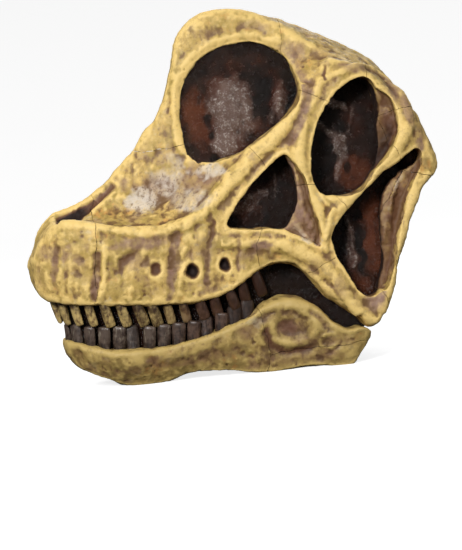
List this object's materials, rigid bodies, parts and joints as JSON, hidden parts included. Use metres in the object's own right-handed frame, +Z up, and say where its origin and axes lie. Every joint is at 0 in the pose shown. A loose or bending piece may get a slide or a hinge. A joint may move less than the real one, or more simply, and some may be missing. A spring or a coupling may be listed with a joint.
{
  "type": "high-crested sauropod dinosaur skull",
  "caption": "Life-size fossil skull of a long-necked dinosaur: arched nasal crest, large nostril and eye openings, deep toothed snout and closed lower jaw, filled with dark rock.",
  "frame": {"origin": "middle of the bounding box at floor level, under the skull", "axes": "-X towards the snout, -Y towards the skull's left side, +Z up"},
  "size_m": [0.7281, 0.3016, 0.6426],
  "materials": {
    "bone": "satin ochre-yellow fossil bone with olive-brown stains in the hollows and pale patches",
    "jaw_bone": "satin olive-ochre fossil bone with purple-brown stains",
    "rock": "glossy dark brown rock that fills the openings"
  },
  "bodies": {
    "root": {"premaxilla_left": "bone", "premaxilla_right": "bone", "maxilla_left": "bone", "maxilla_right": "bone", "nasal_left": "bone", "nasal_right": "bone", "frontal_left": "bone", "frontal_right": "bone", "parietal_left": "bone", "parietal_right": "bone", "lacrimal_left": "bone", "lacrimal_right": "bone", "jugal_left": "bone", "jugal_right": "bone", "postorbital_left": "bone", "postorbital_right": "bone", "quadratojugal_left": "bone", "quadratojugal_right": "bone", "squamosal_left": "bone", "squamosal_right": "bone", "quadrate_left": "bone", "quadrate_right": "bone", "braincase": "bone", "dentary_left": "jaw_bone", "dentary_right": "jaw_bone", "surangular_left": "jaw_bone", "surangular_right": "jaw_bone", "angular_left": "jaw_bone", "angular_right": "jaw_bone", "rock_matrix": "rock"}
  },
  "joints": []
}
